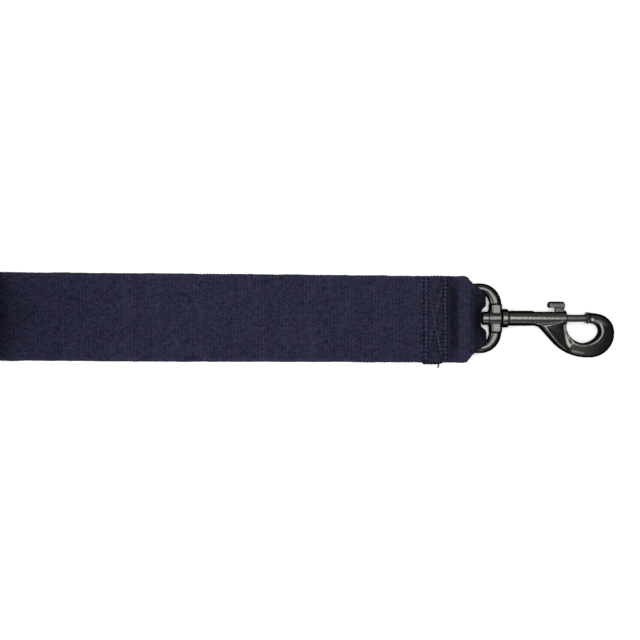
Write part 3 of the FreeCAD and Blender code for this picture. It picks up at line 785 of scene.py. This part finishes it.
def build_thread_end(material):
    """The loose tail of thread and the frayed corner at the turned-back end."""
    rng = random.Random(12)
    edge_y = SEAM_OFFSET - SEAM_HALF
    paths = []
    tail_x = UNDERLAY_X + 8.6 * MM
    paths.append([
        (tail_x - 0.5 * MM, edge_y + 1.4 * MM, 1.5 * MM),
        (tail_x - 0.1 * MM, edge_y + 0.2 * MM, 1.6 * MM),
        (tail_x + 0.3 * MM, edge_y - 0.9 * MM, 1.2 * MM),
        (tail_x + 0.2 * MM, edge_y - 2.5 * MM, 0.9 * MM),
        (tail_x - 0.5 * MM, edge_y - 2.8 * MM, 0.8 * MM),
    ])
    for i in range(16):
        base_y = edge_y + 0.4 * MM + rng.uniform(0, 3) * MM
        base_x = UNDERLAY_X + rng.uniform(-0.1, 0.3) * MM
        reach = rng.uniform(0.5, 1.3) * MM
        lift = rng.uniform(0.3, 1.6) * MM
        paths.append([
            (base_x + 1.0 * MM, base_y, lift),
            (base_x, base_y - 0.2 * MM, lift),
            (base_x - reach * 0.6, base_y - rng.uniform(0.2, 0.6) * MM, max(lift - 0.3 * MM, 0.2 * MM)),
            (base_x - reach, base_y - rng.uniform(0.3, 1.2) * MM, 0.2 * MM),
        ])
    thread = thread_object("thread_end", paths[:1], 0.5 * MM)
    fray = thread_object("frayed_corner", paths[1:], 0.09 * MM)
    for piece in (thread, fray):
        piece.data.materials.append(material)
        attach(piece, "strap")


# ---- the metal ----

def cast_piece(node, name, body, voxel, passes, material, shape=None):
    """A casting with softened edges and small fillets where its shapes meet."""
    mesh = frame["nodes"][node].data.copy()
    mesh.name = name
    piece = bpy.data.objects.new(name, mesh)
    bpy.context.collection.objects.link(piece)
    remesh = piece.modifiers.new("skin", "REMESH")
    remesh.mode = "VOXEL"
    remesh.voxel_size = voxel
    soften = piece.modifiers.new("soften", "SMOOTH")
    soften.factor = 0.5
    soften.iterations = passes
    graph = bpy.context.evaluated_depsgraph_get()
    final = bpy.data.meshes.new_from_object(piece.evaluated_get(graph), depsgraph=graph)
    piece.modifiers.clear()
    piece.data = final
    if shape:
        shape(final)
    final.polygons.foreach_set("use_smooth", [True] * len(final.polygons))
    final.materials.clear()
    final.materials.append(material)
    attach(piece, body)
    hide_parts(node)
    return piece


HOOK_HEIGHT = 4.15 * MM       # from the casting's middle to the hook's crest
CREST = 1.5 * MM              # the crest's distance from the hole
CAD_HEIGHT = 3.9 * MM         # half the casting's thickness in the frame
CAD_HOLE_ROUND = 1.6 * MM     # its rounding at the hole
CAD_OUTER_ROUND = 3.7 * MM    # and round the outside


def fillet_drop(distance, radius):
    """How far a rounded edge has fallen at a distance from its wall."""
    inside = np.clip(radius - distance, 0, radius)
    return radius - np.sqrt(radius ** 2 - inside ** 2)


def nearest(points, outline):
    """Each point's distance from the nearest point of the outline, seen from above."""
    tree = KDTree(len(outline))
    for i, (x, y) in enumerate(outline):
        tree.insert((x, y, 0), i)
    tree.balance()
    return np.array([tree.find((x, y, 0))[2] for x, y in points])


def places_and_normals(mesh):
    """The mesh's points and their normals, one to a row."""
    places = np.empty(len(mesh.vertices) * 3)
    mesh.vertices.foreach_get("co", places)
    normals = np.empty(len(mesh.vertices) * 3)
    mesh.vertex_normals.foreach_get("vector", normals)
    return places.reshape(-1, 3), normals.reshape(-1, 3)


def shape_hook(mesh):
    """Domes the hook. Its crest runs close to the hole and it falls away to the outer edge; the web beside
    the barrel slopes down from its outer edge to a narrow rim at the hole."""
    places, normals = places_and_normals(mesh)
    x, y = places[:, 0], places[:, 1]
    rise = places[:, 2] - AXIS_Z
    hook = (x > BARREL_X - 23 * MM) & ((y < -1.2 * MM) | (x > BARREL_X + 10 * MM))
    wall = hook & (np.abs(rise) < 0.25 * MM) & (np.abs(normals[:, 2]) < 0.4)
    to_hole = np.array([HOLE[0], HOLE[1]]) - places[:, :2]
    faces_hole = np.sum(to_hole * normals[:, :2], axis=1) > 0
    near_hole = np.linalg.norm(to_hole, axis=1) < 13 * MM
    tip = (x > BARREL_X + 11 * MM) & (y > -3.5 * MM)
    inner = places[wall & faces_hole & near_hole & ~tip][:, :2]
    outer = places[wall & ~faces_hole & ~tip][:, :2]
    chosen = np.flatnonzero(hook)
    d_in = nearest(places[chosen, :2], inner)
    d_out = nearest(places[chosen, :2], outer)
    width = d_in + d_out

    before = CAD_HEIGHT - np.maximum(fillet_drop(d_in, CAD_HOLE_ROUND), fillet_drop(d_out, CAD_OUTER_ROUND))
    fall = np.clip((d_in - CREST) / (width - CREST), 0, 1)
    dome = np.sqrt(np.clip(1 - fall ** 2, 0.006, 1)) * (1 - 0.16 * fall)
    climb = np.clip(1 - d_in / CREST, 0, 1)
    after = HOOK_HEIGHT * dome * (0.55 + 0.45 * np.sqrt(1 - climb ** 2))

    cx, cy = x[chosen], y[chosen]
    by_barrel = smooth(BARREL_X + 3.5 * MM - cx, 0, 5 * MM)
    outer_edge = np.sqrt(np.clip(1 - np.clip((fall - 0.8) / 0.2, 0, 1) ** 2, 0.006, 1))
    inner_rim = 0.17 * np.exp(-((d_in - 0.8 * MM) / (0.5 * MM)) ** 2)
    web = HOOK_HEIGHT * (0.52 + 0.42 * np.clip(fall / 0.8, 0, 1) + inner_rim) * outer_edge
    web = web * (0.55 + 0.45 * np.sqrt(1 - climb ** 2))
    after = after * (1 - by_barrel) + web * by_barrel
    in_barrel = (cx < BARREL_X) & (cy > -BARREL_RADIUS)
    barrel = np.sqrt(np.clip(BARREL_RADIUS ** 2 - cy ** 2, 0, None)) * in_barrel
    before = np.maximum(before, barrel)
    blend = 0.35 * MM
    after = (after + barrel + np.sqrt((after - barrel) ** 2 + blend ** 2)) / 2
    share = np.clip(np.abs(rise[chosen]) / np.maximum(before, 0.3 * MM), 0, 1)
    near_edge = smooth(cy, -1.2 * MM, -2.4 * MM)
    keep = np.where(cx > BARREL_X + 10 * MM, 1.0, near_edge)
    at_tip = smooth(cx, BARREL_X + 11 * MM, BARREL_X + 15 * MM) * smooth(cy, -6 * MM, -3 * MM)
    keep = keep * (1 - at_tip)
    moved = np.sign(rise[chosen]) * share * after
    places[chosen, 2] = AXIS_Z + rise[chosen] * (1 - keep) + moved * keep

    # the thin line that the two halves of the mould left
    line = np.clip(1 - np.abs(rise) / (0.22 * MM), 0, 1) * (np.abs(normals[:, 2]) < 0.5)
    places += normals * (line * 0.05 * MM)[:, None]
    mesh.vertices.foreach_set("co", places.ravel())
    mesh.update()


EYE_WIDENING = 1.1 * MM       # how much wider the eye's front wire is beside the boss


def shape_eye(mesh):
    """Widens the front of the eye towards the fold, so that the boss runs smoothly into the wire."""
    places, _ = places_and_normals(mesh)
    aside = np.abs(places[:, 1])
    ahead = smooth(places[:, 0], BAR_X + 5 * MM, BAR_X + 10 * MM)
    beside = (1 - smooth(aside, 9 * MM, 17 * MM)) * smooth(aside, 6.5 * MM, 9 * MM)
    inward = np.clip((EYE_FRONT_X - places[:, 0]) / BAR_RADIUS, 0, 1)
    places[:, 0] -= EYE_WIDENING * ahead * beside * inward
    mesh.vertices.foreach_set("co", places.ravel())
    mesh.update()


def build_spring(material):
    """The bolt's spring, closed and ground at both ends, squeezed between the bore and the bolt."""
    turns = 9.5
    wire = 0.225 * MM
    radius = 1.65 * MM
    low = SPRING_LOW[0] + wire
    high = SPRING_HIGH[0] - wire
    path = []
    for i in range(361):
        share = i / 360
        angle = share * turns * 2 * math.pi
        eased = share + 0.035 * math.sin(2 * math.pi * share)
        x = low + (high - low) * (eased if 0 < share < 1 else share)
        path.append((x, radius * math.cos(angle), AXIS_Z + radius * math.sin(angle)))
    spring = thread_object("spring_coil", [path], wire)
    spring.data.materials.append(material)
    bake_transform(spring)
    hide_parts("bolt_spring")


# ---- the studio ----

def build_floor():
    mesh = bpy.data.meshes.new("floor")
    reach = 4.0
    corners = [(-reach, -reach, 0), (reach, -reach, 0), (reach, reach, 0), (-reach, reach, 0)]
    mesh.from_pydata(corners, [], [(0, 1, 2, 3)])
    floor = bpy.data.objects.new("floor", mesh)
    bpy.context.collection.objects.link(floor)
    mesh.materials.append(pale_floor())
    floor.visible_glossy = False
    return floor


def soft_light(name, place, target, width, depth, power, colour=(1, 1, 1)):
    data = bpy.data.lights.new(name, "AREA")
    data.shape = "RECTANGLE"
    data.size = width
    data.size_y = depth
    data.energy = power
    data.color = colour
    light = bpy.data.objects.new(name, data)
    light.location = place
    light.rotation_euler = (Vector(target) - Vector(place)).to_track_quat("-Z", "Y").to_euler()
    bpy.context.collection.objects.link(light)


def build_world():
    """A dim grey room: black below, lighter overhead and towards the strap's side than beyond the snap."""
    world = bpy.data.worlds.new("studio")
    bpy.context.scene.world = world
    book = Book(world)
    direction = book.node("ShaderNodeTexCoord").outputs["Generated"]
    ahead, _, height = book.split(direction)
    walls = book.step(height, -0.05, 0.30)
    shade = 0.015 + walls * (0.50 - book.step(ahead, -0.1, 0.8) * 0.40)
    glow = book.node("ShaderNodeBackground", {}, {"Color": rgb(1.0, 0.985, 0.96), "Strength": shade})
    book.node("ShaderNodeOutputWorld", {}, {"Surface": glow.outputs["Background"]})


def build_camera():
    """Straight above the lead, near the middle of what shows of it."""
    data = bpy.data.cameras.new("camera")
    data.sensor_width = 36.0
    data.lens = 18.0 / math.tan(math.radians(18.0))
    data.clip_start = 0.01
    camera = bpy.data.objects.new("camera", data)
    nose_to_middle = 165.35 * MM
    camera.location = (CAD_HIGH[0] - nose_to_middle, -0.96 * MM, 0.559)
    bpy.context.collection.objects.link(camera)
    bpy.context.scene.camera = camera


# ---- the whole ----

build_camera()
build_world()
floor = build_floor()
middle = Vector((40 * MM, 0, 0))
soft_light("overhead", (0.03, 0.06, 1.15), middle, 0.85, 0.85, 10.4)
soft_light("left", (-1.1, -0.12, 0.75), middle, 1.2, 0.7, 7.4)
soft_light("near", (0.15, -1.0, 0.62), middle, 0.5, 0.3, 0.7)
bpy.context.scene.view_settings.view_transform = "Standard"

webbing = navy_webbing()
thread_finish = sewing_thread()
plated = black_nickel("black_nickel_casting")
plated_bar = black_nickel("black_nickel_bar", 0.3)
# the eye and the lever are copies of the same plating, darkened as painted shade
eye_plate_painted_shade = black_nickel("black_nickel_eye", 1.0, 0.04, 0.72)
lever_plate_painted_shade = black_nickel("black_nickel_lever", 1.6, 0.02, 0.5)
worn_bolt = black_nickel("black_nickel_bolt", 0.3, 0.32)

strap, cut_length = build_strap()
strap.data.materials.append(webbing)
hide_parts("strap_roll", "strap_run", "strap_underlay", "strap_end_loop")
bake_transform(strap)

build_seam(thread_finish)
build_thread_end(thread_finish)

cast_piece("snap_body", "snap_casting", "snap", 0.2 * MM, 4, plated, shape_hook)
cast_piece("swivel_eye", "eye_casting", "eye", 0.2 * MM, 20, eye_plate_painted_shade, shape_eye)
cast_piece("thumb_lever", "lever_casting", "bolt", 0.16 * MM, 9, lever_plate_painted_shade)
for node, finish in (("snap_bolt", worn_bolt), ("swivel_rivet", plated_bar)):
    data = frame["nodes"][node].data
    data.materials.clear()
    data.materials.append(finish)
build_spring(spring_wire())
